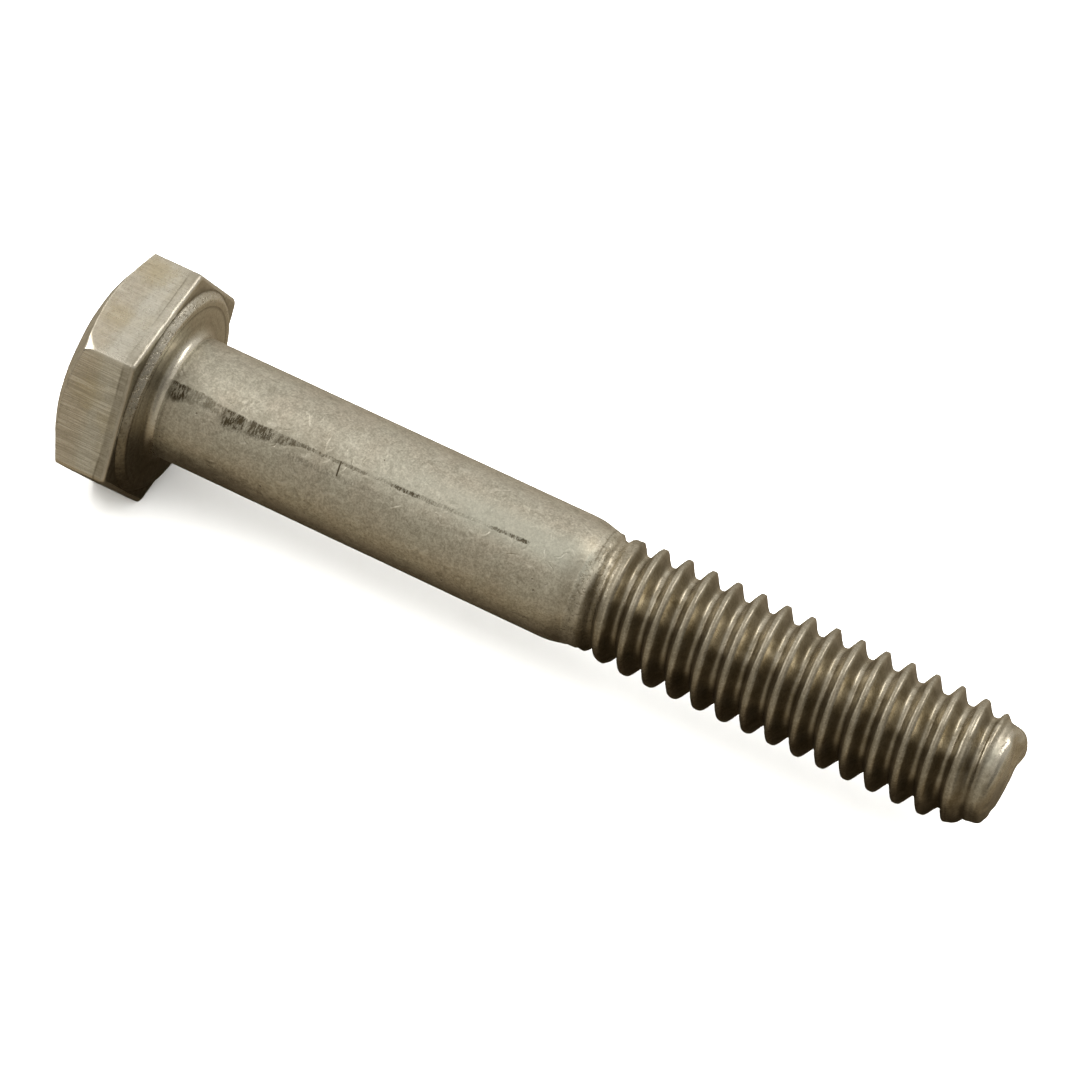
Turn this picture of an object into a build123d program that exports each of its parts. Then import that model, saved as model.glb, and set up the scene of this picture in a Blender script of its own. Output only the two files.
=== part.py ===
"""Hex bolt, 1/4-20 UNC, 1 3/4 in under the head: one cold-headed, thread-rolled piece of stainless steel.

The origin is the centre of the bearing face under the head. The shank runs along +X and the head is at -X.
One flat of the hexagon faces straight down, so that the bolt lies with +Z up. Lengths are in millimetres.
"""

import os
from math import atan2, ceil, cos, degrees, radians, sin, tan

from build123d import *

INCH = 25.4

# Head
ACROSS_FLATS = 10.9
HEAD_HEIGHT = 3.98           # bearing face to the top of the head
CORNER_ROUND = 0.35          # radius of the six long corners
CHAMFER_ANGLE = 31           # slope of the conical chamfer, from the plane of the top
TOP_DIAMETER = 9.3           # flat disc left by the chamfer on the top of the head
LOWER_EDGE_ROUND = 0.12      # radius round the edge of the hexagon that faces the shank
WASHER_FACE_HEIGHT = 0.38
WASHER_FACE_DIAMETER = 9.8   # outside of the flat bearing ring
WASHER_BASE_DIAMETER = 10.4  # foot of the bevel, where the ring rises from the hexagon

# Shank
SHANK_DIAMETER = 6.22
HEAD_FILLET = 0.45           # radius between the bearing face and the shank
SHANK_END = 21.1             # end of the plain cylinder, from the bearing face
NECK_END = 22.6              # narrowest place, where the shank has tapered to the rolling diameter
NECK_DIAMETER = 5.66

# Thread
PITCH = INCH / 20
CREST_DIAMETER = 6.17
ROOT_DIAMETER = 4.86
ROOT_ROUND = 0.19            # radius in the bottom of the groove
FLANK_ANGLE = 30             # of each flank, from a plane square to the axis
GROOVE_START = 22.2          # where the groove leaves the surface of the neck
GROOVE_FULL = 24.2           # where the groove has reached its full depth
GROOVE_TURN = 62             # its angle about the axis there, from +Y towards +Z
CREST_START = 24.7           # where the crests have risen to their full diameter
TURNS_PER_CUT = 1            # longer cuts leave the solid damaged

# Point
LENGTH = 43.7                # bearing face to the end of the point
CREST_END = 41.5             # where the crests start down to the point
POINT_START = 42.8
POINT_START_DIAMETER = 4.94
END_DIAMETER = 4.7
END_ROUND = 0.25
DISH_DIAMETER = 3.6          # hollow that thread rolling leaves in the end
DISH_DEPTH = 0.15

NODE = "hex_bolt"


def turned_outline():
    """Half section of everything that is round about the axis, from the washer face to the point."""
    shank = SHANK_DIAMETER / 2
    crest = CREST_DIAMETER / 2
    end = END_DIAMETER / 2
    with BuildSketch(Plane.XZ) as outline:
        with BuildLine():
            Polyline(
                (-WASHER_FACE_HEIGHT, 0),
                (-WASHER_FACE_HEIGHT, WASHER_BASE_DIAMETER / 2),
                (0, WASHER_FACE_DIAMETER / 2),
                (0, shank + HEAD_FILLET),
            )
            RadiusArc((0, shank + HEAD_FILLET), (HEAD_FILLET, shank), HEAD_FILLET)
            Polyline(
                (HEAD_FILLET, shank),
                (SHANK_END, shank),
                (NECK_END, NECK_DIAMETER / 2),
                (CREST_START, crest),
                (CREST_END, crest),
                (POINT_START, POINT_START_DIAMETER / 2),
                (LENGTH - END_ROUND, end),
            )
            RadiusArc((LENGTH - END_ROUND, end), (LENGTH, end - END_ROUND), END_ROUND)
            Line((LENGTH, end - END_ROUND), (LENGTH, DISH_DIAMETER / 2))
            Line((LENGTH, DISH_DIAMETER / 2), (LENGTH - DISH_DEPTH, 0))
            Line((LENGTH - DISH_DEPTH, 0), (-WASHER_FACE_HEIGHT, 0))
        make_face()
    return outline.sketch


def chamfer_outline():
    """Half section of the round blank whose cone cuts the top corners of the hexagon."""
    reach = ACROSS_FLATS
    slope = tan(radians(CHAMFER_ANGLE)) * (reach - TOP_DIAMETER / 2)
    with BuildSketch(Plane.XZ) as outline:
        with BuildLine():
            Polyline(
                (-HEAD_HEIGHT, 0),
                (-HEAD_HEIGHT, TOP_DIAMETER / 2),
                (slope - HEAD_HEIGHT, reach),
                (slope, reach),
                (slope, 0),
                close=True,
            )
        make_face()
    return outline.sketch


def groove_profile(start):
    """Section of the thread groove, in the plane of the axis and the start point at its root."""
    margin = 0.1
    wall_foot = ROOT_ROUND * cos(radians(FLANK_ANGLE))
    foot_height = ROOT_ROUND * (1 - sin(radians(FLANK_ANGLE)))
    top_height = (CREST_DIAMETER - ROOT_DIAMETER) / 2 + margin
    wall_top = wall_foot + (top_height - foot_height) * tan(radians(FLANK_ANGLE))
    around = Vector(0, -start.Z, start.Y).normalized()
    with BuildSketch(Plane(origin=start, x_dir=(1, 0, 0), z_dir=around)) as profile:
        with BuildLine():
            ThreePointArc((-wall_foot, foot_height), (0, 0), (wall_foot, foot_height))
            Polyline(
                (wall_foot, foot_height),
                (wall_top, top_height),
                (-wall_top, top_height),
                (-wall_foot, foot_height),
            )
        make_face()
    return profile.sketch


def groove_path(start, length, direction, cone_angle=0.0):
    """Right-hand helix at the root of the groove. Its start is a whole number of turns from GROOVE_FULL."""
    axial_pitch = PITCH / cos(radians(cone_angle))
    root = ROOT_DIAMETER / 2
    helix = Edge.make_helix(axial_pitch, length, root, (start, 0, 0), direction, cone_angle)
    beginning = helix @ 0
    return helix.rotate(Axis.X, GROOVE_TURN - degrees(atan2(beginning.Z, beginning.Y)))


with BuildPart() as hex_bolt:
    # Hexagonal head, with its long corners rounded and its top chamfered all round
    with BuildSketch(Plane.YZ.offset(-HEAD_HEIGHT)):
        hexagon = RegularPolygon(ACROSS_FLATS / 2, 6, major_radius=False)
        fillet(hexagon.vertices(), CORNER_ROUND)
    extrude(amount=HEAD_HEIGHT - WASHER_FACE_HEIGHT)
    with BuildPart(mode=Mode.PRIVATE) as blank:
        add(chamfer_outline())
        revolve(axis=Axis.X)
    add(blank.part, mode=Mode.INTERSECT)
    lower_face = hex_bolt.faces().sort_by(Axis.X)[-1]
    fillet(lower_face.outer_wire().edges(), LOWER_EDGE_ROUND)

    # Washer face, shank, neck, thread blank and point
    revolve(turned_outline(), axis=Axis.X)

    # Thread groove at full depth, cut a few turns at a time until it runs out past the point
    cut_length = TURNS_PER_CUT * PITCH
    cuts = ceil((LENGTH - GROOVE_FULL) / cut_length)
    for cut in range(cuts):
        thread = groove_path(GROOVE_FULL + cut * cut_length, cut_length, (1, 0, 0))
        sweep(groove_profile(thread @ 0), path=thread, is_frenet=True, mode=Mode.SUBTRACT)

    # Run-out: the groove goes back towards the head and rises until it leaves the neck
    run_out_length = GROOVE_FULL - GROOVE_START
    run_out_rise = (NECK_DIAMETER - ROOT_DIAMETER) / 2
    rise_angle = degrees(atan2(run_out_rise, run_out_length))
    run_out = groove_path(GROOVE_FULL, run_out_length, (-1, 0, 0), rise_angle)
    sweep(groove_profile(run_out @ 0), path=run_out, is_frenet=True, mode=Mode.SUBTRACT)

hex_bolt.part.label = NODE
os.makedirs("parts", exist_ok=True)
export_step(hex_bolt.part, f"parts/{NODE}.step")
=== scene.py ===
"""Looks of the hex bolt: a detailed mesh that stands for the CAD solid, its steel, the studio and the camera.

The mesh is worked out in millimetres and scaled to metres at the end. Angles are in degrees round the shank,
from +Y towards +Z: the camera sees those from about 32, the upper outline, to 212, the lower one.
"""

import math

import bpy
import numpy as np
from mathutils import Matrix, Vector


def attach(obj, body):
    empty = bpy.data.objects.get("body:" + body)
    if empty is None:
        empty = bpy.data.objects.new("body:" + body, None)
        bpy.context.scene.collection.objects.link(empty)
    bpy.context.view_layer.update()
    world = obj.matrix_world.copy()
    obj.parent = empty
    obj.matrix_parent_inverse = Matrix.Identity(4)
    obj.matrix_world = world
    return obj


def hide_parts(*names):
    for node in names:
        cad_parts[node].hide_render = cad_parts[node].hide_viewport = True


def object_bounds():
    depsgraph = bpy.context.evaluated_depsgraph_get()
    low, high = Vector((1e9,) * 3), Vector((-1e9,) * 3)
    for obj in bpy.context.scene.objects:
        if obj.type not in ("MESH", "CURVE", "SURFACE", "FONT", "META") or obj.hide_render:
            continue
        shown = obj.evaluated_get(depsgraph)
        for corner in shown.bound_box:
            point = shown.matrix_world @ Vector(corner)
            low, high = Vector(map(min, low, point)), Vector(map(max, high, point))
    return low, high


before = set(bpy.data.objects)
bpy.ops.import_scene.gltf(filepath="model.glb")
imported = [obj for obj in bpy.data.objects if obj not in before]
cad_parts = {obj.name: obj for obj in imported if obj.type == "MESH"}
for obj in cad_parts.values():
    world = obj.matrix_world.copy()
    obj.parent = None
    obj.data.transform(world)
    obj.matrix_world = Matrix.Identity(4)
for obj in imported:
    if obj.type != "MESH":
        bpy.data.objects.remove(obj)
cad_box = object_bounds()

MM = 0.001

# ---------------------------------------------------------------- size of the bolt, in mm
# The origin is the centre of the bearing face, and the shank runs along +X.

# Head
FLAT = 5.45                    # axis to each flat of the hexagon
HEAD_TOP = -3.98
TOP_RADIUS = 4.65              # flat disc on top of the head
TOP_DISH = 0.03                # depth of the middle of that disc
CHAMFER_SLOPE = math.tan(math.radians(31))
CORNER_ROUNDS = (0.6, 0.3, 0.2, 0.36, 0.35, 0.3)   # six long corners, from +Y towards +Z
KNOCK_NORMAL = (-0.299, -0.246, 0.922)   # of the facet knocked off the corner at 120 degrees
KNOCK_DISTANCE = 6.575         # from the origin to that facet
KNOCK_EDGE = 0.012             # softness of its edges
UNDERSIDE = -0.38              # hexagon's lower face, behind the washer face
TRIM_LINE = UNDERSIDE - 0.57   # mean place of the shallow line that runs round the flats
BEARING_EDGE_ROUND = 0.20
WASHER_FOOT, WASHER_EDGE = 5.2, 4.88

# Shank, thread and point
SHANK = 3.11
FILLET = 0.45
SHANK_END = 21.1
PITCH = 1.27
CREST_PHASE = 25.885           # x of a crest at angle 0
THREAD_START = CREST_PHASE - 3 * PITCH
ROOT_FLAT = 0.044              # half width of the flat in the bottom of the groove
ROOT_ROUND = 0.19              # radius beside that flat
FLANK_COS, FLANK_SLOPE = 0.866, math.sqrt(3)       # of flanks that lean 30 degrees
CREST_BLEND = 0.06             # softness of the edges between crest and flank
POINT_LEAN, LEAN_ANGLE = 0.045, 40     # how far the point is off the axis, and towards which side
LENGTH = 43.7

# (x, radius) of the turned blank, from the neck to the point, and of the bottom of the groove
BLANK = ((21.1, 3.11), (21.45, 3.085), (21.8, 3.02), (22.1, 2.945), (22.38, 2.875), (22.74, 2.865),
         (22.86, 2.80), (22.98, 2.82), (23.2, 2.875), (23.9, 2.96), (24.7, 3.045), (25.4, 3.085),
         (39.9, 3.085), (41.0, 3.04), (41.65, 2.95), (42.1, 2.83), (42.36, 2.77), (42.62, 2.5),
         (42.75, 2.45), (42.95, 2.425))
ROOT = ((22.0, 3.3), (22.3, 2.9), (22.65, 2.70), (23.0, 2.60), (23.5, 2.49), (24.2, 2.40), (24.9, 2.43),
        (44, 2.43))

# Mesh density
CORNERS = 6
COLUMNS = 240
COLUMNS_PER_CORNER = COLUMNS // CORNERS
ROWS_PER_TURN = 16
COLUMN_STEP = COLUMNS // ROWS_PER_TURN
SPIRAL_ROWS = 263
SPIRAL_END = THREAD_START + PITCH * SPIRAL_ROWS / ROWS_PER_TURN

# Radii at which the noise of the head and of the thread is read
HEAD_NOISE, THREAD_NOISE = 5.6, 3.0

# What the material reads from the mesh, each from 0 to 1
# The mask that darkens the colour holds dark lines and painted shade: on the bolt's shaded side, in the
# thread and in the first groove
MASKS = ("flat", "ring", "thread", "dirt", "wear", "crest", "pitted")

# Painted shade in the thread: (distance from a crest towards the point, as a part of the pitch; amount)
PAINTED_SHADE_ABOVE = ((-0.5, 0.0), (-0.43, 0.4), (-0.36, 0.25), (-0.25, 0.15), (-0.12, 0.1), (0, 0), (0.08, 0.05),
               (0.13, 0.65), (0.22, 0.85), (0.33, 0.85), (0.40, 0.7), (0.45, 0.45), (0.5, 0.0))
PAINTED_SHADE_IN_FRONT = ((-0.5, 0.55), (-0.43, 0.85), (-0.36, 0.65), (-0.22, 0.35), (-0.12, 0.1), (-0.06, 0.3),
                  (0.04, 0.1), (0.22, 0.25), (0.36, 0.7), (0.5, 0.55))
PAINTED_SHADE_BELOW = ((-0.5, 0.8), (-0.43, 0.95), (-0.36, 1.0), (-0.2, 1.0), (-0.13, 0.6), (-0.07, 0.28),
               (0.02, 0.3), (0.08, 0.12), (0.13, 0.75), (0.22, 1.0), (0.36, 1.0), (0.5, 0.8))


# ---------------------------------------------------------------- noise and small curves

HASH_FACTORS = np.array((374761393, 668265263, 1440662683))
SEED_FACTOR = 974711
MIXING_FACTOR = 1274126177
LOW_32_BITS, LOW_24_BITS = 0xFFFFFFFF, 0xFFFFFF


def lattice(cell, seed):
    """Hash of whole-number cells to numbers from -1 to 1."""
    h = ((cell * HASH_FACTORS).sum(-1) + seed * SEED_FACTOR) & LOW_32_BITS
    h = ((h ^ (h >> 13)) * MIXING_FACTOR) & LOW_32_BITS
    h = h ^ (h >> 16)
    return (h & LOW_24_BITS) / (LOW_24_BITS / 2) - 1.0


def noise(points, size, seed):
    """Smooth value noise of the given feature size, from -1 to 1."""
    place = np.asarray(points, float) / size
    cell = np.floor(place).astype(np.int64)
    t = place - cell
    t = t * t * t * (t * (t * 6 - 15) + 10)
    total = 0.0
    for i in (0, 1):
        for j in (0, 1):
            for k in (0, 1):
                weight = (np.where(i, t[..., 0], 1 - t[..., 0]) * np.where(j, t[..., 1], 1 - t[..., 1])
                          * np.where(k, t[..., 2], 1 - t[..., 2]))
                total = total + weight * lattice(cell + np.array((i, j, k)), seed)
    return total


def fractal(points, size, seed, octaves=3):
    """Noise with finer and weaker noise on top of it, each with a seed of its own."""
    return sum(noise(points, size / 2 ** o, seed + 17 * o) * 0.5 ** o for o in range(octaves)) / 1.6


def step(low, high, value):
    """Rises smoothly from 0 at low to 1 at high."""
    t = np.clip((np.asarray(value, float) - low) / (high - low), 0, 1)
    return t * t * (3 - 2 * t)


def bump(centre, width, value):
    return np.exp(-((np.asarray(value, float) - centre) / width) ** 2)


def curve(value, points):
    """Piecewise line through (value, result) pairs."""
    return np.interp(value, *zip(*points))


def below(angle):
    """1 on the side that lies in the bolt's own shade, fading out above it; painted shade goes there."""
    return step(128, 172, angle % 360) * (1 - step(250, 300, angle % 360))


def soft_min(a, b, width):
    """The smaller of two values, with a round of the given width where they meet."""
    h = np.clip(0.5 + 0.5 * (b - a) / width, 0, 1)
    return b + (a - b) * h - width * h * (1 - h)


# ---------------------------------------------------------------- columns round the axis

column = np.arange(COLUMNS)
column_in_flat = column % COLUMNS_PER_CORNER
half_flat = COLUMNS_PER_CORNER // 2
from_corner = np.where(column_in_flat <= half_flat, column_in_flat, COLUMNS_PER_CORNER - column_in_flat)
turn_from_corner = 180 / CORNERS * (from_corner / half_flat) ** 1.8

# Columns for the round parts, and columns that crowd towards the corners of the hexagon
EVEN = 360.0 * column / COLUMNS
CLUSTERED = 60.0 * (column // COLUMNS_PER_CORNER) + np.where(
    column_in_flat <= half_flat, turn_from_corner, 60 - turn_from_corner)


def ring_points(x, r, angle):
    a = np.radians(angle)
    x, r = np.broadcast_to(x, a.shape), np.broadcast_to(r, a.shape)
    return np.stack([x, r * np.cos(a), r * np.sin(a)], -1)


class Shell:
    """Points, masks and faces of a closed surface that is built from ring to ring."""

    def __init__(self):
        self.points, self.faces, self.size, self.last = [], [], 0, None
        self.masks = {name: [] for name in MASKS}

    def add(self, points, **values):
        """Adds points with their masks, and returns their numbers."""
        points = np.atleast_2d(points)
        self.points.append(points)
        for name in MASKS:
            value = np.asarray(values.get(name, 0.0), float)
            self.masks[name].append(np.broadcast_to(value, (len(points),)))
        self.size += len(points)
        return np.arange(self.size - len(points), self.size)

    def ring(self, x, r, even=0.0, **values):
        """Adds a ring of points round the axis, and joins it to the ring before it."""
        angle = CLUSTERED * (1 - even) + EVEN * even
        row = self.add(ring_points(x, r, angle), **values)
        if self.last is not None:
            self.faces += zip(self.last, np.roll(self.last, -1), np.roll(row, -1), row)
        self.last = row
        return row


shell = Shell()


# ---------------------------------------------------------------- head

def hexagon(angle):
    """Radius of the hexagon with rounded corners at each angle."""
    result = np.zeros_like(angle)
    half_sector = math.pi / CORNERS
    reach = 180 / CORNERS + 0.001
    for corner, rounding in enumerate(CORNER_ROUNDS):
        away = np.abs((angle - 360 / CORNERS * corner + 180) % 360 - 180)
        t = np.radians(away)
        straight = FLAT / np.cos(half_sector - t)
        centre = (FLAT - rounding) / math.cos(half_sector)
        arc = centre * np.cos(t) + np.sqrt(np.maximum(rounding ** 2 - (centre * np.sin(t)) ** 2, 0))
        arc_end = half_sector - math.atan((FLAT - rounding) * math.tan(half_sector) / FLAT)
        result = np.where(away <= reach, np.where(t < arc_end, arc, straight), result)
    return result


def knocked(x, r):
    """Radius after the knock on the top of the corner at 120 degrees, and how much of it is cut, 0 to 1."""
    a = np.radians(CLUSTERED)
    facing = KNOCK_NORMAL[1] * np.cos(a) + KNOCK_NORMAL[2] * np.sin(a)
    least_facing, out_of_reach = 0.3, 99.0
    limit = (KNOCK_DISTANCE - KNOCK_NORMAL[0] * x) / np.maximum(facing, least_facing)
    limit = np.where(facing > least_facing, limit, out_of_reach)
    return soft_min(r, limit, KNOCK_EDGE), np.clip((r - limit) / KNOCK_EDGE, 0, 1)


HEX_R = hexagon(CLUSTERED)
HEX_POINTS = ring_points(0, HEAD_NOISE, CLUSTERED)
CHAMFER_END = HEAD_TOP + CHAMFER_SLOPE * (HEX_R - TOP_RADIUS)
ON_CORNER = np.exp(-(from_corner / 4.5) ** 2)
ON_TOP_FLAT = np.exp(-((CLUSTERED - 90) / 24) ** 8)
STRIP_R = HEX_R - 0.006        # between the trim line and the rounded edge
# Darker strip between the trim line and the rounded edge, on every flat but the top one
STRIP_DARKENING = 0.42 * (1 - ON_TOP_FLAT) * (1 - 0.5 * ON_CORNER)


def top_ring(r, depth):
    """Ring on the top of the head, at a depth below its rim."""
    uneven = np.abs(noise(ring_points(0, r, CLUSTERED), 1.1, 21))
    return shell.ring(HEAD_TOP + depth + 0.006 * uneven, r)


def build_top():
    """Top of the head, nearly flat, and the chamfer round it."""
    pole = shell.add((HEAD_TOP + TOP_DISH, 0, 0))[0]
    row = top_ring(0.9, TOP_DISH)
    shell.faces += [(pole, after, here) for after, here in zip(np.roll(row, -1), row)]
    for r, depth in ((1.9, 0.026), (2.9, 0.02), (3.7, 0.012), (4.25, 0.005), (4.55, 0.0)):
        top_ring(r, depth)

    wave = 0.035 * noise(HEX_POINTS, 1.4, 22) + 0.015 * noise(HEX_POINTS, 0.4, 23)
    edge_drop = 0.012
    shell.ring(HEAD_TOP + edge_drop, TOP_RADIUS - 0.01 + wave, wear=0.6)
    for part in (0.05, 0.2, 0.4, 0.6, 0.8, 0.9, 0.96, 0.985):
        r = TOP_RADIUS + wave * (1 - part) + part * (HEX_R - TOP_RADIUS - wave)
        uneven = 0.008 * noise(HEX_POINTS + r[:, None], 0.5, 24)
        x = HEAD_TOP + CHAMFER_SLOPE * part * (HEX_R - TOP_RADIUS) + edge_drop + uneven
        shell.ring(x, knocked(x, r)[0], wear=0.25 if part < 0.9 else 0.4)


def build_flats():
    """Side of the hexagon, from the chamfer to the trim line and past it."""
    edge_wear = np.clip(0.15 + 1.1 * noise(HEX_POINTS, 0.4, 45), 0, 1)
    # distance from the chamfer, depth below the flat, wear, flat mask
    for shift, depth, worn, flatness in (
            (0.006, 0.006, edge_wear, 0.3), (0.024, 0.0, 0.2 + 0.6 * ON_CORNER, 0.9),
            (0.10, 0.0, 0.6 * ON_CORNER, 1.0), (0.18, 0.0, 0.6 * ON_CORNER, 1.0),
            (0.27, 0.0, 0.6 * ON_CORNER, 1.0)):
        x = CHAMFER_END + shift
        r, cut = knocked(x, HEX_R - depth)
        shell.ring(x, r, wear=np.maximum(worn, cut), flat=flatness)

    wander = noise(HEX_POINTS, 1.5, 26) + 0.4 * noise(HEX_POINTS, 0.35, 27)
    trim = TRIM_LINE + (0.015 + 0.045 * (1 - ON_TOP_FLAT)) * wander
    spread = 1 + 1.6 * (1 - ON_TOP_FLAT)
    dents = np.clip(fractal(HEX_POINTS, 0.5, 25) - 0.35, 0, 1)
    first, last = CHAMFER_END + 0.045, trim - 0.03 * spread
    for part in (0.2, 0.3, 0.42, 0.6, 0.78, 0.92, 1.0):
        x = first + part * (last - first)
        uneven = 0.006 * np.abs(noise(ring_points(x, HEX_R, CLUSTERED), 1.3, 28))
        shell.ring(x, HEX_R - uneven - 0.02 * dents * ON_CORNER, flat=1.0, wear=0.75 * ON_CORNER)

    smudge = np.clip(0.75 + 0.8 * noise(HEX_POINTS, 0.9, 46), 0.1, 1)
    # distance from the trim line, depth, darkening
    for shift, depth, dirt in ((-0.012, 0.004, 0.4), (0.006, 0.009, 0.8), (0.03, 0.007, 0.35),
                               (0.06, 0.006, 0.1)):
        shell.ring(trim + shift * spread, HEX_R - depth, flat=0.8, wear=0.5 * ON_CORNER,
                   dirt=np.maximum(dirt * smudge, STRIP_DARKENING * (shift > 0)))

    foot = bearing_edge()[1]
    strip_start = trim + 0.16
    # The strip is lighter on the top flat and at the corners, and darker on the other flats
    for part in (0.35, 0.75):
        shell.ring(strip_start + part * (foot - strip_start), STRIP_R, flat=0.8, dirt=STRIP_DARKENING,
                   wear=0.1 + 0.6 * ON_TOP_FLAT + 0.3 * ON_CORNER)


def bearing_edge():
    """Radius of the rounded edge that faces the shank, and x where it begins."""
    edge_round = BEARING_EDGE_ROUND + 0.02 * noise(HEX_POINTS, 0.9, 29)
    return edge_round, UNDERSIDE - edge_round


def build_underside():
    """Rounded edge towards the shank, and the lower face of the hexagon."""
    edge_round, foot = bearing_edge()
    for turn in (0, 18, 36, 54, 72, 90):
        t = math.radians(turn)
        rough = 0.016 * noise(ring_points(foot, STRIP_R, CLUSTERED) + turn * 0.004, 0.3, 30)
        shell.ring(foot + edge_round * math.sin(t), STRIP_R - edge_round * (1 - math.cos(t)) - np.abs(rough),
                   wear=0.9 * math.sin(2 * t) + 0.1, dirt=STRIP_DARKENING * math.cos(t) ** 2)
    outer = STRIP_R - edge_round
    # The lower face is darker towards the washer face, and gets painted shade on the side in the bolt's own
    # shade
    for part in (0.08, 0.3, 0.6, 0.88):
        shell.ring(UNDERSIDE, outer + part * (WASHER_FOOT + 0.03 - outer), ring=0.5,
                   dirt=np.maximum(0.25 + 0.65 * part ** 2, 0.95 * below(CLUSTERED + 8)))


def build_washer_face():
    """Bevel and face of the raised ring, and the fillet between it and the shank."""
    # Painted shade on the side in the bolt's own shade, over the bevel, the face and the fillet; the foot of
    # the bevel and of the fillet is darker too, and the fillet gets a painted highlight where it meets the
    # shank
    shade = below(CLUSTERED + 8)
    # x, radius, darkening at the foot of the bevel, wear
    for x, r, dirt, wear in ((-0.378, WASHER_FOOT + 0.01, 0.9, 0), (-0.36, WASHER_FOOT - 0.02, 0.6, 0.1),
                             (-0.30, 5.14, 0.15, 0.5), (-0.20, 5.06, 0, 0.7), (-0.11, 4.985, 0, 0.7),
                             (-0.045, 4.93, 0, 0.9), (-0.012, WASHER_EDGE, 0, 0.9), (-0.002, 4.83, 0, 0.5)):
        p = ring_points(x, r, CLUSTERED)
        uneven = 0.018 * noise(p, 0.7, 31) + 0.012 * noise(p, 0.22, 32)
        shell.ring(x - 0.5 * np.abs(uneven), r + uneven, ring=1.0, dirt=np.maximum(dirt, 0.9 * shade),
                   wear=wear * (1 - 0.8 * shade))
    # radius, darkening, depth: one dark line and two fainter ones run round the face
    for r, dirt, depth in ((4.75, 0.1, 0), (4.60, 0.15, 0), (4.54, 0.75, 0.012), (4.48, 0.5, 0.012),
                           (4.40, 0.1, 0), (4.2, 0.15, 0), (4.0, 0.3, 0.004), (3.9, 0.15, 0),
                           (3.75, 0.3, 0.004), (3.62, 0.35, 0)):
        uneven = 0.006 * np.abs(noise(ring_points(0, r, CLUSTERED), 0.6, 33))
        shell.ring(-uneven - 0.002 - depth, r, ring=0.7, dirt=np.maximum(dirt, 0.7 * below(CLUSTERED)))
    for turn in (0, 12, 26, 42, 58, 74, 90):
        t = math.radians(turn)
        shell.ring(FILLET * (1 - math.cos(t)), SHANK + FILLET * (1 - math.sin(t)), ring=0.7,
                   dirt=np.maximum(0.2 * math.cos(t) ** 2, 0.6 * below(CLUSTERED) * math.cos(t)),
                   wear=0.85 * math.sin(t) ** 2)


# ---------------------------------------------------------------- shank and neck

def point_lean(angle):
    """How far the leaning point stands out on each side."""
    return POINT_LEAN * np.cos(np.radians(angle - LEAN_ANGLE))


def blank(x, angle):
    """Radius of the turned blank from the neck to the point."""
    return curve(x, BLANK) + point_lean(angle) * step(41, 42.3, x)


def build_shank():
    """Turned lines beside the fillet, then the shank and neck, on which the columns spread evenly."""
    # x, depth of a turned line
    for x, depth in ((0.50, 0.0), (0.54, 0.005), (0.58, 0.009), (0.63, 0.004), (0.7, 0.0), (0.80, 0.001),
                     (0.86, 0.003), (0.92, 0.002), (0.98, 0.0)):
        p = ring_points(x, SHANK, CLUSTERED)
        shell.ring(x + 0.02 * noise(p, 1.2, 34), SHANK - depth * (0.7 + 0.6 * noise(p, 1.0, 35)),
                   dirt=40 * depth)
    for x in np.concatenate([np.linspace(1.15, 20.9, 42), np.linspace(21.1, THREAD_START - 0.07, 13)]):
        even = float(step(1.0, 12.0, x))
        angle = CLUSTERED * (1 - even) + EVEN * even
        p = ring_points(x, SHANK, angle)
        r = SHANK if x < SHANK_END else blank(x, angle)
        # Over the neck, from x 21.1, a little painted shade dims its highlight
        shell.ring(x, r + 0.004 * noise(p, 2.5, 36) + 0.0015 * noise(p, 0.6, 37) - 0.004, even,
                   thread=float(step(21.3, 22.1, x)) * 0.35, dirt=0.12 * float(step(21.1, 21.5, x)))


# ---------------------------------------------------------------- thread

def groove(distance):
    """Height of the thread groove above its root, at a distance from its centre."""
    past = np.maximum(distance - ROOT_FLAT, 0)
    wall_foot = ROOT_ROUND * FLANK_COS
    arc = ROOT_ROUND - np.sqrt(np.maximum(ROOT_ROUND ** 2 - np.minimum(past, wall_foot) ** 2, 0))
    return arc + np.maximum(past - wall_foot, 0) * FLANK_SLOPE


def first_turn(x):
    """1 where the groove begins, in the neck."""
    return (1 - step(22.9, 23.1, x)) * step(22.1, 22.3, x)


def thread_surface(x, angle):
    """Radius of the rolled thread, and distance from the nearest crest towards the point in pitches."""
    phase = (x - CREST_PHASE) / PITCH - angle / 360.0
    phase = phase - np.round(phase)
    from_crest = np.abs(phase)
    from_root = np.abs((phase - 0.03 * step(0.2, 0.4, from_crest)) % 1.0 - 0.5) * PITCH
    p = ring_points(x, THREAD_NOISE, angle)
    wander = 0.012 * noise(p, 1.1, 5) + 0.008 * noise(p, 0.45, 6)
    crest = blank(x, angle) + 0.012 * noise(p, 0.8, 7) + 0.003 * noise(p, 0.25, 8)
    crest = crest - 0.03 * np.clip(fractal(p, 0.9, 9) - 0.45, 0, 1)
    bed = curve(x, ROOT) + 0.008 * noise(p, 0.6, 10)
    r = soft_min(crest, bed + groove(np.maximum(from_root + wander * (from_crest < 0.45), 0)), CREST_BLEND)
    # rolled-over seam along the crests, and soft dents in the flanks
    seam = bump(0, 0.018, phase + 0.012 * noise(p, 1.7, 12)) * step(0.1, 0.5, noise(p, 2.2, 13) + 0.35)
    r = r - 0.012 * seam
    r = r + bump(0.24, 0.11, from_crest) * (0.024 * noise(p, 1.1, 14) + 0.008 * noise(p, 0.45, 15))
    # raised lip where the first turn begins
    lip = step(0.02, 0.07, phase) * (1 - step(0.30, 0.42, phase)) * first_turn(x)
    return r + 0.006 * lip, phase


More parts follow.
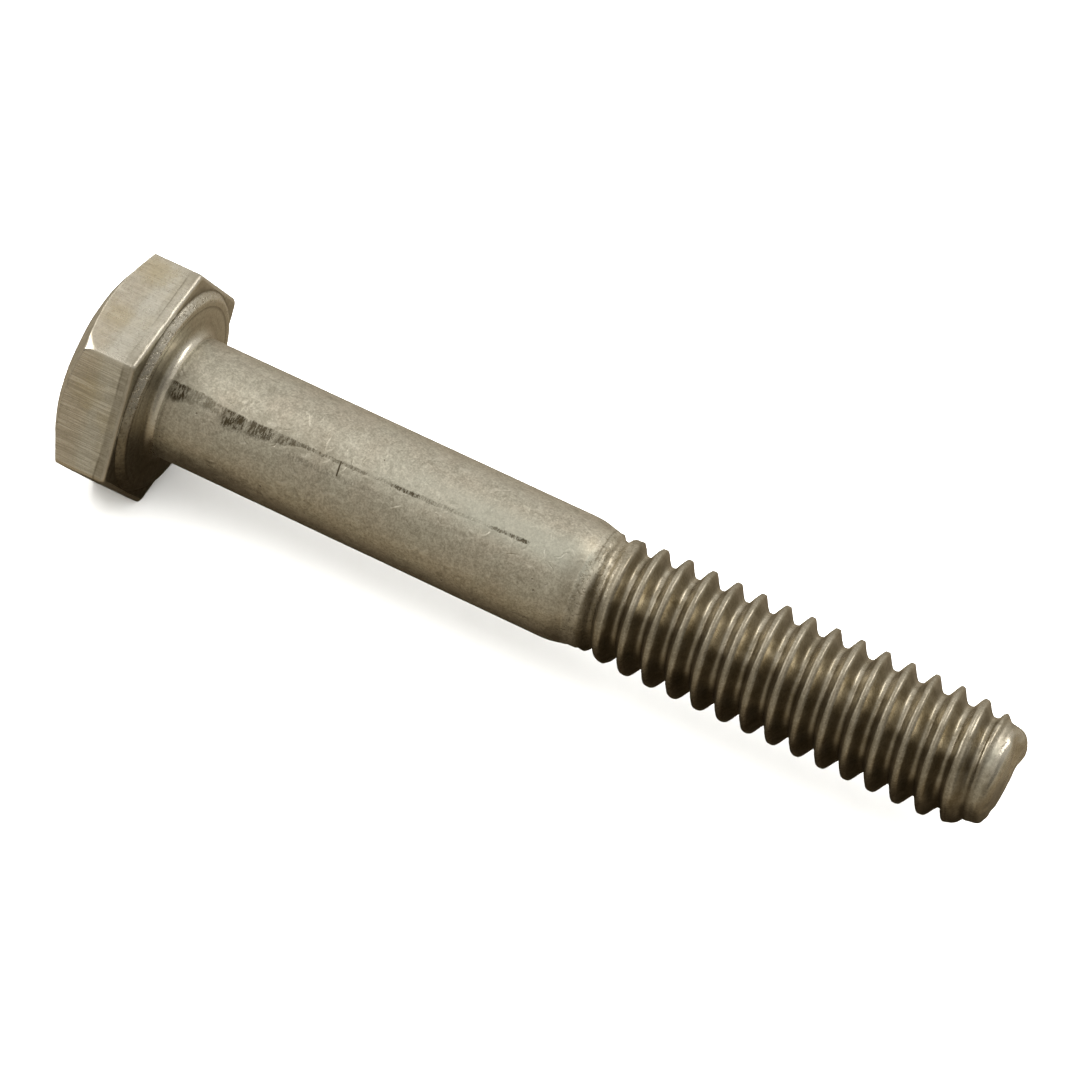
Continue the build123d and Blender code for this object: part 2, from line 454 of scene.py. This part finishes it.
def thread_painted_shade(x, angle, phase):
    """Painted shade by the distance from a crest, in three sectors: the upper side, the front and the
    underside.
    """
    p = ring_points(x, THREAD_NOISE, angle)
    shifted = angle + 10 * noise(p, 1.5, 47)
    in_front = curve(shifted, ((90, 0), (106, 1), (112, 1), (126, 0)))
    is_below = curve(shifted, ((108, 0), (128, 1), (250, 1), (310, 0)))
    # Patches in front with less painted shade
    lighter_patches = 1 - 0.6 * step(0.0, 0.5, noise(p, 1.2, 48))
    return (curve(phase, PAINTED_SHADE_ABOVE) * (1 - in_front) * (1 - is_below) * step(23.2, 23.9, x)
            + curve(phase, PAINTED_SHADE_IN_FRONT) * in_front * lighter_patches * step(23.0, 23.6, x)
            + curve(phase, PAINTED_SHADE_BELOW) * is_below * (1 - in_front))


def first_row(c):
    """Helical row that a column meets first after the plain ring at the thread's start."""
    return -(c // COLUMN_STEP)


def last_row(c):
    """Helical row that a column meets last before the plain ring at the thread's end."""
    return SPIRAL_ROWS + (-c // COLUMN_STEP)


def build_thread():
    """Helical rows of points that follow the thread, between two plain rings."""
    ring_start = shell.ring(THREAD_START, blank(THREAD_START, EVEN) - 0.002, 1.0, thread=0.4)
    shared = column[::COLUMN_STEP]             # columns whose first and last rows meet the plain rings
    spiral = {(first_row(c), c): ring_start[c] for c in shared.tolist()}
    cells = [(j, c) for c in range(COLUMNS) for j in range(first_row(c), last_row(c) + 1)
             if (j, c) not in spiral]
    rows, columns = np.array(cells).T
    angle = EVEN[columns]
    x = THREAD_START + PITCH * (rows / ROWS_PER_TURN + columns / COLUMNS)
    # the rows gather at the crests and roots, except near the ends of the thread
    pull = 0.62 * PITCH / (4 * np.pi)
    gather = step(THREAD_START, THREAD_START + 1.0, x) * (1 - step(SPIRAL_END - 0.6, SPIRAL_END, x))
    x = x - gather * pull * np.sin(4 * np.pi * rows / ROWS_PER_TURN)
    r, phase = thread_surface(x, angle)

    in_thread = step(22.0, 23.2, x) * (1 - 0.6 * step(42.4, 42.8, x))
    # Painted shade along the first groove: a line on the upper side, and a band on the front and underside
    first_line_shade = 0.6 * bump(0.05, 0.035, phase) * first_turn(x) * (1 - step(96, 108, angle))
    first_groove_shade = (0.9 * bump(22.92 + 0.0012 * (angle - 120), 0.07, x)
                    * step(95, 115, angle) * (1 - step(250, 300, angle)))
    # Painted highlight on the edge of the neck, in front
    neck_edge_highlight = bump(22.67, 0.10, x) * step(100, 125, angle) * (1 - step(150, 170, angle))
    numbers = shell.add(
        ring_points(x, r, angle), thread=in_thread,
        dirt=np.clip(thread_painted_shade(x, angle, phase) * in_thread + first_line_shade + first_groove_shade, 0, 1),
        wear=bump(0, 0.09, phase) * in_thread * 0.3 + neck_edge_highlight,
        crest=bump(-0.025, 0.095, phase) * in_thread,
        pitted=step(22.1, 22.35, x) * (1 - step(23.3, 23.9, x)))
    spiral.update(zip(cells, numbers))

    loose = np.setdiff1d(column, shared)
    ring_end = np.empty(COLUMNS, int)
    ring_end[shared] = [spiral[last_row(c), c] for c in shared.tolist()]
    end_r = thread_surface(np.full(COLUMNS, SPIRAL_END), EVEN)[0]
    ring_end[loose] = shell.add(ring_points(SPIRAL_END, end_r[loose], EVEN[loose]), thread=0.5)

    def point(j, c):
        """Number of the point where a row meets a column. Past the last column, it goes on one turn up."""
        return spiral[j + ROWS_PER_TURN, 0] if c == COLUMNS else spiral[j, c]

    for c in range(COLUMNS):
        after = (c + 1) % COLUMNS
        low, high = first_row(c), last_row(c + 1)
        own_corner = () if c % COLUMN_STEP == 0 else (point(low, c),)
        shell.faces.append((ring_start[c], ring_start[after], point(low, c + 1), *own_corner))
        for j in range(low, high):
            shell.faces.append((point(j, c), point(j, c + 1), point(j + 1, c + 1), point(j + 1, c)))
        next_corner = () if (c + 1) % COLUMN_STEP == 0 else (point(high, c + 1),)
        shell.faces.append((point(high, c), *next_corner, ring_end[after], ring_end[c]))
    shell.last = ring_end


# ---------------------------------------------------------------- point

def build_point():
    """Collar, rolled-over rim and dished end."""
    p = ring_points(0, 2.4, EVEN)
    rim = 0.055 * noise(p, 1.3, 41) + 0.03 * noise(p, 0.5, 42)
    rim = rim - 0.06 * bump(62, 12, EVEN)
    past_bulge = np.abs((EVEN - 12 + 180) % 360 - 180)
    recess = 0.21 * step(16, 52, past_bulge) + 0.07 * bump(235, 30, EVEN)
    collar_end = 43.5
    # x, radius, share of the rim's unevenness, wear
    for x, r, share, wear in ((43.05, 2.41, 0.1, 0.2), (43.17, 2.385, 0.2, 0.3), (43.29, 2.345, 0.4, 0.4),
                              (43.40, 2.29, 0.6, 0.5), (43.49, 2.22, 0.8, 0.6), (43.57, 2.13, 1, 0.6),
                              (43.63, 2.03, 1, 0.5), (43.67, 1.92, 1, 0.4), (43.685, 1.80, 1, 0.3),
                              (43.68, 1.66, 1, 0.1), (43.65, 1.5, 0.8, 0), (43.61, 1.25, 0.6, 0),
                              (43.58, 0.9, 0.4, 0), (43.565, 0.5, 0.2, 0)):
        p = ring_points(x, r, EVEN)
        end_x = x + (0.6 * rim - recess) * share + 0.008 * noise(p, 0.35, 43)
        # Painted highlight on the upper side of the collar, and painted shade on the lower side of the point
        painted_highlight_side = 0.9 * bump(92, 26, EVEN) if x < collar_end else 0
        shell.ring(np.minimum(end_x, LENGTH),
                   r + point_lean(EVEN) + rim * share * 0.6 + 0.006 * noise(p, 0.3, 44), 1.0,
                   wear=0.3 * wear + painted_highlight_side, thread=0.65, dirt=0.5 * below(EVEN + 16))
    tip = shell.add((43.56, 0, 0), thread=0.65)[0]
    shell.faces += [(here, after, tip) for here, after in zip(shell.last, np.roll(shell.last, -1))]


build_top()
build_flats()
build_underside()
build_washer_face()
build_shank()
build_thread()
build_point()


# ---------------------------------------------------------------- mesh object

def add_object(name, data):
    made = bpy.data.objects.new(name, data)
    bpy.context.scene.collection.objects.link(made)
    return made


coordinates = np.concatenate(shell.points)
# Some corners are sharper than the CAD's, and no point may pass its box
for axis in (1, 2):
    coordinates[:, axis] = np.clip(coordinates[:, axis], cad_box[0][axis] / MM, cad_box[1][axis] / MM)
mesh = bpy.data.meshes.new("bolt_body")
mesh.from_pydata((coordinates * MM).tolist(), [], [tuple(int(v) for v in face) for face in shell.faces])
for name in MASKS:
    values = np.clip(np.concatenate(shell.masks[name]), 0, 1)
    mesh.attributes.new(name, "FLOAT", "POINT").data.foreach_set("value", values.astype(np.float32))
mesh.shade_smooth()
mesh.validate()
bolt = add_object("bolt_body", mesh)


# ---------------------------------------------------------------- nodes

class Nodes:
    """Short names for the few kinds of node that the materials and the world use."""

    def __init__(self, owner):
        owner.use_nodes = True
        self.tree = owner.node_tree
        self.tree.nodes.clear()

    def set(self, socket, value):
        if isinstance(value, bpy.types.NodeSocket):
            self.tree.links.new(value, socket)
        else:
            socket.default_value = value

    def add(self, kind, inputs=(), out=0, **settings):
        """Adds a node, and returns one of its outputs, or the node itself where out is None."""
        node = self.tree.nodes.new(kind)
        for name, value in settings.items():
            setattr(node, name, value)
        for key, value in dict(inputs).items():
            self.set(node.inputs[key], value)
        return node.outputs[out] if out is not None else node

    def math(self, operation, a, b=0.0):
        return self.add("ShaderNodeMath", {0: a, 1: b}, operation=operation)

    def chain(self, operation, first, *others):
        for other in others:
            first = self.math(operation, first, other)
        return first

    def mul(self, *values):
        return self.chain("MULTIPLY", *values)

    def plus(self, *values):
        return self.chain("ADD", *values)

    def greatest(self, *values):
        return self.chain("MAXIMUM", *values)

    def minus(self, a, b):
        return self.math("SUBTRACT", a, b)

    def away(self, value, centre):
        """Distance of a number from a centre."""
        return self.math("ABSOLUTE", self.plus(value, -centre))

    def in_mm(self):
        """Place on the object, in mm."""
        place = self.add("ShaderNodeTexCoord", out="Object")
        return self.add("ShaderNodeVectorMath", {0: place, "Scale": 1 / MM}, operation="SCALE")

    def split(self, vector):
        return self.add("ShaderNodeSeparateXYZ", {0: vector}, out=None).outputs

    def vector(self, x, y, z):
        return self.add("ShaderNodeCombineXYZ", {0: x, 1: y, 2: z})

    def mask(self, name):
        return self.add("ShaderNodeAttribute", out="Fac", attribute_name=name)

    def noise(self, vector, scale, detail=2.0, rough=0.5):
        inputs = {"Vector": vector, "Scale": scale, "Detail": detail, "Roughness": rough}
        return self.add("ShaderNodeTexNoise", inputs, out="Fac")

    def remap(self, value, low, high, to_low=0.0, to_high=1.0, smooth=False):
        return self.add("ShaderNodeMapRange", {0: value, 1: low, 2: high, 3: to_low, 4: to_high},
                        interpolation_type="SMOOTHSTEP" if smooth else "LINEAR")

    def mix(self, factor, a, b):
        node = self.add("ShaderNodeMix", out=None, data_type="RGBA")
        factor_input, a_input, b_input, colour_output = 0, 6, 7, 2
        for key, value in ((factor_input, factor), (a_input, a), (b_input, b)):
            self.set(node.inputs[key], value)
        return node.outputs[colour_output]

    def coats(self, base, *coats):
        """Lays coats over a base colour, one after another, each given as (how much, colour)."""
        for factor, colour in coats:
            base = self.mix(factor, base, colour)
        return base

    def ramp(self, value, stops):
        """A curve through (position, result) pairs, from position 0 to 1. Results may pass 1."""
        top = max(result for _, result in stops)
        node = self.add("ShaderNodeFloatCurve", {"Value": value}, out=None)
        line = node.mapping.curves[0]
        line.points[0].location = (0.0, stops[0][1] / top)
        line.points[1].location = (1.0, stops[-1][1] / top)
        for position, result in stops:
            if 0 < position < 1:
                line.points.new(position, result / top).handle_type = "VECTOR"
        node.mapping.update()
        return self.mul(node.outputs[0], top)


def rgb(r, g, b):
    return (r, g, b, 1.0)


# ---------------------------------------------------------------- steel

SHADE = rgb(0.35, 0.32, 0.25)
DEEP_SHADE = rgb(0.33, 0.30, 0.23)
SMUDGE = rgb(0.30, 0.27, 0.20)
DARK_KHAKI = rgb(0.30, 0.26, 0.18)
WORN_AND_HIGHLIGHT_COLOUR = rgb(0.84, 0.79, 0.68)
GRIME_AND_SHADE_COLOUR = rgb(0.13, 0.10, 0.055)
SCUFF_COLOUR = rgb(0.085, 0.066, 0.034)

# The scuff marks, by place along the shank: 0 is at the bearing face, and 1 is 20 mm from it
SCUFF_SCALE = 0.05             # 1 over those 20 mm
# Angle of their upper edge
SCUFF_TOP = ((0.0, 113.0), (0.1, 112.5), (0.18, 116.0), (0.45, 115.5), (0.65, 113.5), (0.96, 109.3),
             (1.0, 109.0))
# Their width, in degrees
SCUFF_WIDTH = ((0.0, 15.0), (0.05, 18.0), (0.08, 13.0), (0.16, 11.0), (0.18, 17.0), (0.27, 14.0),
               (0.34, 9.0), (0.375, 3.5), (0.60, 3.0), (0.68, 4.5), (0.86, 3.0), (0.95, 4.0), (1.0, 3.0))
# How dark they are
SCUFF_PATCHES = ((0.0, 0.0), (0.022, 0.4), (0.035, 1.0), (0.065, 1.0), (0.075, 0.5), (0.165, 0.45),
                 (0.18, 1.0), (0.225, 1.0), (0.235, 0.25), (0.245, 0.9), (0.30, 0.9), (0.31, 0.3),
                 (0.32, 0.75), (0.37, 0.75), (0.45, 0.55), (0.50, 0.6), (0.545, 0.6), (0.56, 0.15),
                 (0.60, 0.35), (0.63, 0.95), (0.68, 0.95), (0.69, 0.4), (0.72, 0.6), (0.745, 0.3),
                 (0.77, 0.55), (0.80, 0.3), (0.86, 0.3), (0.88, 0.7), (0.965, 0.95), (0.975, 0.0),
                 (1.0, 0.0))
# How dark a fainter row below them is
SMEAR = ((0.0, 0.0), (0.32, 0.0), (0.37, 1.0), (0.52, 0.8), (0.68, 0.0), (1.0, 0.0))
SMEAR_BELOW = 14.0             # degrees from their upper edge
LINE_X, LINE_BELOW = 9.65, 7.0         # the hair line across them: x, and degrees from their upper edge

steel = bpy.data.materials.new("stainless_steel_worn")
n = Nodes(steel)
mm = n.in_mm()
px, py, pz = n.split(mm)
turn_angle = n.mul(n.math("ARCTAN2", pz, py), 180 / math.pi)
flat, ring, thread, dirt, wear, crest, pitted = (n.mask(name) for name in MASKS)

grain = n.noise(mm, 7.0, 3.0, 0.68)
mottle = n.noise(mm, 2.1, 3.0, 0.6)
blotch = n.noise(mm, 0.55, 2.0, 0.5)
film = n.noise(mm, 1.15, 2.0, 0.55)
uneven = n.noise(mm, 3.0, 3.0, 0.62)
fine = n.noise(mm, 10.0, 2.0, 0.6)


def stretched(along, across, detail):
    """Noise that is drawn out, by its scales along the axis and across it."""
    return n.noise(n.vector(n.mul(px, along), n.mul(py, across), n.mul(pz, across)), 1.0, detail, 0.6)


draw_lines = stretched(0.35, 9.0, 3.0)
brushed = stretched(0.5, 16.0, 2.0)
around = stretched(7.0, 1.1, 2.0)
plain = n.mul(n.minus(1.0, n.greatest(flat, ring)), n.minus(1.0, thread))
on_point = n.remap(px, 42.7, 43.0)
not_top = n.remap(pz, 5.2, 5.4, 1.0, 0.2)      # the top flat is the least brushed


def hairs(offset, size, low, high):
    """Hair scratches: thin bands where one noise passes its middle value, broken up by another."""
    moved = n.add("ShaderNodeVectorMath", {0: mm, 1: offset}, operation="ADD")
    band = n.away(n.noise(moved, size, 1.0), 0.5)
    return n.mul(n.remap(band, 0.012, 0.04, 1.0, 0.0), n.remap(n.noise(moved, 1.3, 1.0), low, high))


def stain(centre, radius):
    """Blot with a ragged edge round a place on the head."""
    distance = n.add("ShaderNodeVectorMath", {0: mm, 1: centre}, out="Value", operation="DISTANCE")
    ragged = n.mul(n.minus(mottle, 0.5), 1.6)
    return n.remap(n.plus(distance, ragged), 0.25 * radius, radius, 1.0, 0.0, True)


bright_hair = n.mul(hairs((3.0, 8.0, 1.0), 0.9, 0.56, 0.64), plain)
dark_hair = n.mul(hairs((31.0, 2.0, 17.0), 1.1, 0.55, 0.63), plain)
stains = n.greatest(stain((-2.3, 2.4, 5.45), 1.3), n.mul(stain((-2.6, -0.9, 5.45), 1.0), 0.6),
                    n.mul(stain((-2.3, -4.2, 3.6), 1.3), 0.9), n.mul(stain((-1.1, -4.6, 2.8), 0.9), 0.6))

# Shank, washer face and point. The shank is browner towards the back, greener in front near the neck, and
# smudged round the scuff marks.
browner = n.mul(n.remap(turn_angle, 78.0, 62.0), n.remap(film, 0.4, 0.55, 0.3, 1.0))
greener = n.mul(n.remap(px, 9.0, 17.0), n.remap(turn_angle, 84.0, 98.0), n.remap(turn_angle, 126.0, 112.0))
smudged = n.mul(n.remap(px, 12.0, 7.0), n.remap(turn_angle, 94.0, 110.0), n.remap(turn_angle, 134.0, 122.0))
grey = n.coats(
    n.mix(n.remap(mottle, 0.2, 0.8), rgb(0.635, 0.61, 0.51), rgb(0.735, 0.705, 0.59)),
    (n.remap(blotch, 0.42, 0.62, 0.0, 0.45), rgb(0.66, 0.585, 0.475)),
    (n.remap(grain, 0.36, 0.60, 0.45, 0.0), SHADE),
    (n.remap(uneven, 0.38, 0.58, 0.42, 0.0), SHADE),
    (n.remap(fine, 0.52, 0.66, 0.0, 0.4), rgb(0.86, 0.82, 0.70)),
    (n.remap(fine, 0.34, 0.48, 0.35, 0.0), DEEP_SHADE),
    (n.mul(bright_hair, 0.3), rgb(0.90, 0.86, 0.74)),
    (n.mul(dark_hair, 0.25), rgb(0.24, 0.21, 0.15)),
    (n.mul(on_point, n.remap(around, 0.38, 0.62, 0.55, 0.0)), SMUDGE),
    (n.mul(browner, 0.3), rgb(0.66, 0.60, 0.50)),
    (n.mul(greener, 0.5), rgb(0.61, 0.63, 0.545)),
    (n.mul(smudged, n.remap(film, 0.38, 0.56, 0.5, 0.1)), SMUDGE))

# Flats of the hexagon: yellower near the top of the head, with a bright middle band, and brushed lengthwise
aged = n.mul(n.remap(px, -1.9, -2.45), n.remap(not_top, 0.0, 1.0, 0.35, 1.0))
bright_band = n.remap(n.away(px, -1.6), 0.2, 0.5, 0.35, 0.0, True)
brushing = n.remap(not_top, 0.0, 1.0, 0.12, 0.6)
flats = n.coats(
    n.mix(n.remap(blotch, 0.45, 0.65, 0.1, 0.8), rgb(0.79, 0.76, 0.66), rgb(0.76, 0.69, 0.53)),
    (n.remap(not_top, 0.2, 1.0, 0.14, 0.0), rgb(0.42, 0.42, 0.36)),
    (n.remap(uneven, 0.38, 0.58, 0.3, 0.0), rgb(0.40, 0.36, 0.28)),
    (n.remap(film, 0.40, 0.60, 0.2, 0.0), rgb(0.50, 0.45, 0.35)),
    (n.mul(aged, 0.6), rgb(0.71, 0.60, 0.46)),
    (bright_band, rgb(0.86, 0.84, 0.76)),
    # Darker lower down on the flats
    (n.mul(n.remap(pz, 4.0, 0.8, 0.0, 0.17), not_top), DARK_KHAKI),
    (n.mul(stains, 0.6), rgb(0.60, 0.51, 0.32)),
    (n.mul(n.remap(brushed, 0.40, 0.56, 0.75, 0.0), brushing), rgb(0.36, 0.33, 0.26)),
    (n.mul(n.remap(brushed, 0.52, 0.66, 0.0, 0.8), brushing), rgb(0.95, 0.91, 0.80)),
    (n.remap(fine, 0.36, 0.47, 0.25, 0.0), DEEP_SHADE))

threads = n.coats(
    n.mix(n.remap(film, 0.36, 0.60), rgb(0.42, 0.37, 0.27), rgb(0.74, 0.68, 0.55)),
    (n.remap(mottle, 0.40, 0.60, 0.3, 0.0), DARK_KHAKI),
    (n.mul(crest, 0.85), rgb(0.36, 0.32, 0.24)),
    (n.remap(fine, 0.53, 0.66, 0.0, 0.35), rgb(0.86, 0.80, 0.66)),
    (n.remap(fine, 0.34, 0.47, 0.35, 0.0), rgb(0.20, 0.17, 0.11)))

# Scuff marks: a streak along the shank of short dark ticks that run round it
tick = n.noise(n.vector(n.mul(px, 9.0), n.mul(turn_angle, 0.13), 3.0), 1.0, 3.0, 0.7)
ragged = n.mul(n.minus(n.noise(n.vector(n.mul(px, 2.5), 0.0, 7.0), 1.0, 3.0, 0.7), 0.5), 6.0)
station = n.mul(px, SCUFF_SCALE)
across = n.minus(turn_angle, n.plus(n.ramp(station, SCUFF_TOP), ragged))
inside = n.mul(n.remap(across, -0.8, 0.8, 0.0, 1.0, True),
               n.remap(n.math("DIVIDE", across, n.ramp(station, SCUFF_WIDTH)), 0.7, 1.1, 1.0, 0.0, True))
streak = n.mul(inside, n.ramp(station, SCUFF_PATCHES), n.remap(tick, 0.45, 0.53, 0.35, 1.0))
smear = n.mul(n.remap(n.away(across, SMEAR_BELOW), 1.0, 4.0, 0.4, 0.0, True), n.ramp(station, SMEAR),
              n.remap(tick, 0.42, 0.56))
line_x = n.math("ABSOLUTE", n.plus(px, -LINE_X, n.mul(n.plus(across, -LINE_BELOW), -0.006)))
hair_line = n.mul(n.remap(line_x, 0.02, 0.05, 1.0, 0.0),
                  n.remap(n.away(across, LINE_BELOW), 6.5, 7.5, 1.0, 0.0))
scuff = n.greatest(streak, smear, hair_line)

# Pits in the plain steel, and speckles on the washer face and the neck
cells = n.add("ShaderNodeTexVoronoi", {"Vector": mm, "Scale": 1.6, "Randomness": 1.0}, out="Distance")
pit = n.mul(n.remap(cells, 0.05, 0.10, 1.0, 0.0), n.mul(n.remap(n.noise(mm, 0.8, 1.0), 0.52, 0.6), plain))
speckle = n.mul(n.remap(n.noise(mm, 5.5, 2.0, 0.7), 0.54, 0.62),
                n.greatest(n.remap(ring, 0.75, 1.0, 0.0, 0.8), n.mul(pitted, 0.8)))

colour = n.coats(
    n.mix(thread, n.mix(flat, grey, flats), threads),
    # Wear and painted highlights brighten the colour; dirt and painted shade darken it
    (n.mul(wear, n.remap(thread, 0.0, 1.0, 0.75, 0.3)), WORN_AND_HIGHLIGHT_COLOUR),
    (n.mul(dirt, n.remap(mottle, 0.2, 0.6, 0.6, 1.0), 0.85), GRIME_AND_SHADE_COLOUR),
    (n.mul(scuff, 0.95), SCUFF_COLOUR),
    (n.mul(pit, 0.7), rgb(0.14, 0.11, 0.07)),
    (n.mul(speckle, 0.55), rgb(0.22, 0.18, 0.11)))

LEAST_ROUGHNESS = 0.17
rough = n.plus(
    0.43, n.mul(n.minus(grain, 0.5), n.remap(thread, 0.0, 1.0, 0.3, 0.1)),
    n.remap(mottle, 0.3, 0.7, -0.04, 0.04), n.mul(crest, 0.16), n.mul(flat, -0.12),
    n.mul(thread, thread, -0.16), n.mul(pitted, 0.12),
    n.mul(on_point, -0.07), n.mul(ring, -0.14), n.mul(wear, -0.08), n.mul(dirt, 0.10), n.mul(scuff, 0.15))
rough = n.greatest(rough, LEAST_ROUGHNESS)

RELIEF_HEIGHT = 0.018 * MM
smooth = n.greatest(thread, flat, n.mul(ring, 0.85))
height = n.plus(
    n.mul(grain, n.minus(0.45, n.mul(smooth, 0.36))), n.mul(fine, plain, 0.2),
    n.mul(n.minus(bright_hair, dark_hair), 0.4), n.mul(draw_lines, n.minus(1.0, flat), 0.15),
    n.mul(brushed, n.mul(flat, not_top), 0.8), n.mul(around, on_point, 0.8),
    n.mul(n.greatest(pit, scuff), -0.9), n.mul(speckle, -0.9))
relief = n.add("ShaderNodeBump", {"Strength": 1.0, "Distance": RELIEF_HEIGHT, "Height": height})
shader = n.add("ShaderNodeBsdfPrincipled", {"Base Color": colour, "Metallic": 1.0, "Roughness": rough,
                                            "Normal": relief})
n.add("ShaderNodeOutputMaterial", {"Surface": shader}, out=None)
bolt.data.materials.append(steel)

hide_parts("hex_bolt")
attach(bolt, "root")

# ---------------------------------------------------------------- floor

MIDDLE = 0.02                  # x of the middle of the bolt, in metres as everything from here on
FLOOR_Z = cad_box[0][2]
FLOOR_RADIUS, BEND_RADIUS, WALL_TOP = 0.45, 0.25, 0.9
SIDES = 96

paper = bpy.data.materials.new("pale_paper")
n = Nodes(paper)
fibres = n.noise(n.add("ShaderNodeTexCoord", out="Object"), 220.0, 3.0)
tint = n.mix(fibres, rgb(0.80, 0.80, 0.79), rgb(0.84, 0.84, 0.83))
matt = n.add("ShaderNodeBsdfPrincipled", {"Base Color": tint, "Roughness": 0.9, "Specular IOR Level": 0.0})
n.add("ShaderNodeOutputMaterial", {"Surface": matt}, out=None)

# Floor that curves up into a wall all round: (radius, height) from the edge of the flat part
profile = [(FLOOR_RADIUS, 0.0)]
profile += [(FLOOR_RADIUS + BEND_RADIUS * math.sin(t), BEND_RADIUS * (1 - math.cos(t)))
            for t in np.linspace(0.1, math.pi / 2, 12)]
profile += [(FLOOR_RADIUS + BEND_RADIUS, WALL_TOP)]
wall_points = [(0.0, 0.0, FLOOR_Z)]
for r, z in profile:
    for side in range(SIDES):
        a = 2 * math.pi * side / SIDES
        wall_points.append((r * math.cos(a) + MIDDLE, r * math.sin(a), z + FLOOR_Z))
wall_faces = [(0, 1 + side, 1 + (side + 1) % SIDES) for side in range(SIDES)]
for row in range(len(profile) - 1):
    for side in range(SIDES):
        a, b = 1 + row * SIDES + side, 1 + row * SIDES + (side + 1) % SIDES
        wall_faces.append((a, a + SIDES, b + SIDES, b))
stage_mesh = bpy.data.meshes.new("studio_floor")
stage_mesh.from_pydata(wall_points, [], wall_faces)
stage_mesh.shade_smooth()
stage_mesh.materials.append(paper)
stage = add_object("studio_floor", stage_mesh)
stage.visible_glossy = False
stage.visible_shadow = False

# ---------------------------------------------------------------- what the steel reflects

DARK_SIDE = rgb(0.05, 0.042, 0.03)

world = bpy.data.worlds.new("studio")
n = Nodes(world)
to_x, to_y, _ = n.split(n.add("ShaderNodeTexCoord", out="Generated"))
behind = n.remap(to_y, -1.05, -0.1, 0.0, 1.0, True)
aside = n.mul(n.remap(to_x, 0.05, 0.8, 0.0, 1.0, True), n.remap(to_y, -0.2, 0.5, 0.7, 0.25, True))
low_left = n.mul(n.remap(to_x, -0.34, -0.62, 0.0, 0.9, True), n.remap(to_y, 0.02, -0.60, 0.0, 1.0, True))
sky = n.coats(n.mix(behind, rgb(0.435, 0.40, 0.335), rgb(0.64, 0.615, 0.57)),
              (aside, DARK_SIDE), (low_left, DARK_SIDE))
backdrop = n.add("ShaderNodeBackground", {"Color": sky, "Strength": 1.0})
n.add("ShaderNodeOutputWorld", {"Surface": backdrop}, out=None)
bpy.context.scene.world = world

# The table as the steel sees it: a card that only reflections see, dark where the bolt shades the table
table = bpy.data.materials.new("table_card")
n = Nodes(table)
px, py, _ = n.split(n.in_mm())
past_end = n.greatest(n.plus(px, -40.0), n.minus(0.0, px), 0.0)
near_thread = n.remap(px, 18.0, 26.0, 0.0, 5.0, True)
near_head = n.remap(n.math("ABSOLUTE", px), 1.5, 4.5, 4.0, 0.0, True)
across = n.plus(py, 0.5)
in_front = n.minus(n.minus(0.0, across), n.plus(near_thread, near_head))
sideways = n.greatest(in_front, n.mul(across, 1.5), 0.0)
gap = n.math("SQRT", n.plus(n.mul(past_end, past_end), n.mul(sideways, sideways)))
glow = n.mix(n.remap(gap, 2.5, 11.0, 0.0, 1.0, True), rgb(0.03, 0.02, 0.009), rgb(0.33, 0.27, 0.185))
glow = n.mix(n.remap(gap, 9.0, 40.0, 0.0, 1.0, True), glow, rgb(0.44, 0.40, 0.33))
n.add("ShaderNodeOutputMaterial", {"Surface": n.add("ShaderNodeEmission", {"Color": glow})}, out=None)

CARD_REACH = 0.5               # half its width
BELOW_FLOOR = 0.05 * MM
card_mesh = bpy.data.meshes.new("table_card")
card_corners = [(CARD_REACH * x, CARD_REACH * y, 0) for x, y in ((-1, -1), (1, -1), (1, 1), (-1, 1))]
card_mesh.from_pydata(card_corners, [], [(0, 1, 2, 3)])
card_mesh.materials.append(table)
card = add_object("table_card", card_mesh)
card.location.z = FLOOR_Z - BELOW_FLOOR
card.visible_camera = card.visible_diffuse = card.visible_shadow = False


# ---------------------------------------------------------------- lights

def area_light(name, towards, distance, size, power, colour, glossy=True):
    """A soft light, as wide and as high as size says, that faces the bolt from the given direction."""
    data = bpy.data.lights.new(name, "AREA")
    data.shape, data.energy, data.color = "RECTANGLE", power, colour
    data.size, data.size_y = size
    light = add_object(name, data)
    aim = Vector(towards).normalized()
    light.location = Vector((MIDDLE, 0, 0)) + aim * distance
    light.rotation_euler = aim.to_track_quat("Z", "Y").to_euler()
    light.visible_camera = False
    light.visible_glossy = glossy


WARM, WHITE = (1.0, 0.975, 0.94), (1.0, 1.0, 1.0)
area_light("key", (0.33, 0.62, 0.71), 0.30, (0.10, 0.22), 0.18, WARM)
area_light("left", (-0.72, 0.0, 0.69), 0.30, (0.27, 0.13), 0.24, WARM)
area_light("overhead", (0.05, 0.25, 1.0), 0.45, (0.80, 0.80), 11.0, WHITE, glossy=False)

bpy.context.scene.view_settings.view_transform = "Standard"

# ---------------------------------------------------------------- camera

CAMERA_PLACE = (70.02, -113.29, 180.59)        # in mm
CAMERA_RIGHT = (0.8817, 0.4694, 0.0479)
CAMERA_BACKWARD = (0.2325, -0.5206, 0.8215)
LENS, SENSOR = 156.7, 36.0     # in mm
CLIP_START = 0.005

camera_data = bpy.data.cameras.new("camera")
camera_data.lens, camera_data.sensor_width, camera_data.clip_start = LENS, SENSOR, CLIP_START
camera = add_object("camera", camera_data)
backward = Vector(CAMERA_BACKWARD).normalized()
up = backward.cross(Vector(CAMERA_RIGHT).normalized()).normalized()
right = up.cross(backward)
camera.matrix_world = (Matrix.Translation(Vector(CAMERA_PLACE) * MM)
                       @ Matrix((right, up, backward)).transposed().to_4x4())
bpy.context.scene.camera = camera
